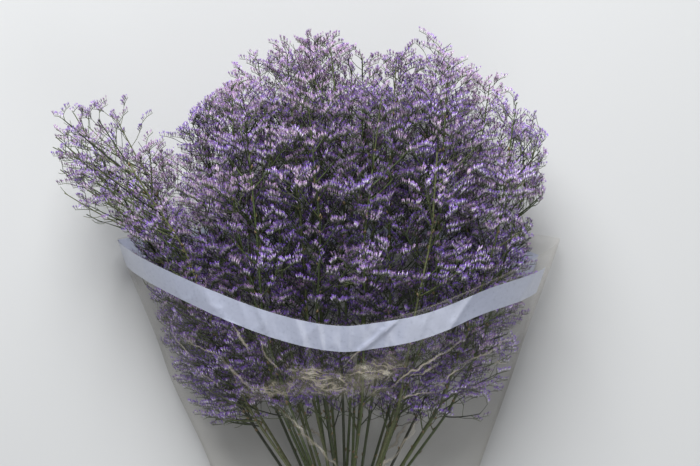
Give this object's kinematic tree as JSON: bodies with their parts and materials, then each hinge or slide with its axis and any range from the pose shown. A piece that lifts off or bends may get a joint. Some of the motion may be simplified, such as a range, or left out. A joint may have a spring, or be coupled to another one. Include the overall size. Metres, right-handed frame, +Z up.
{
  "type": "dried statice bunch",
  "caption": "Bunch of dried statice: thin branching stems with dense sprays of tiny violet flowers, tied and laid down in a tapered clear film sleeve.",
  "frame": {"origin": "on the underside of the film sleeve, where the bunch lies on a surface", "axes": "+Y from the cut stem ends to the flower heads, +X to the right seen from above with the heads away from the viewer, +Z up"},
  "size_m": [0.5267, 0.6302, 0.256],
  "materials": {
    "statice": "dry papery florets",
    "clear_film": "clear film",
    "rubber": "matt"
  },
  "bodies": {
    "root": {"statice_stem_01": "statice", "statice_stem_02": "statice", "statice_stem_03": "statice", "statice_stem_04": "statice", "statice_stem_05": "statice", "statice_stem_06": "statice", "statice_stem_07": "statice", "statice_stem_08": "statice", "statice_stem_09": "statice", "statice_stem_10": "statice", "statice_stem_11": "statice", "statice_stem_12": "statice", "statice_stem_13": "statice", "statice_stem_14": "statice", "statice_stem_15": "statice", "statice_stem_16": "statice", "statice_stem_17": "statice", "statice_stem_18": "statice", "statice_stem_19": "statice", "statice_stem_20": "statice", "statice_stem_21": "statice", "statice_stem_22": "statice", "statice_stem_23": "statice", "statice_stem_24": "statice", "statice_stem_25": "statice", "statice_stem_26": "statice", "statice_stem_27": "statice", "statice_stem_28": "statice", "statice_stem_29": "statice", "statice_stem_30": "statice", "film_sleeve": "clear_film", "rubber_band": "rubber"}
  },
  "joints": []
}
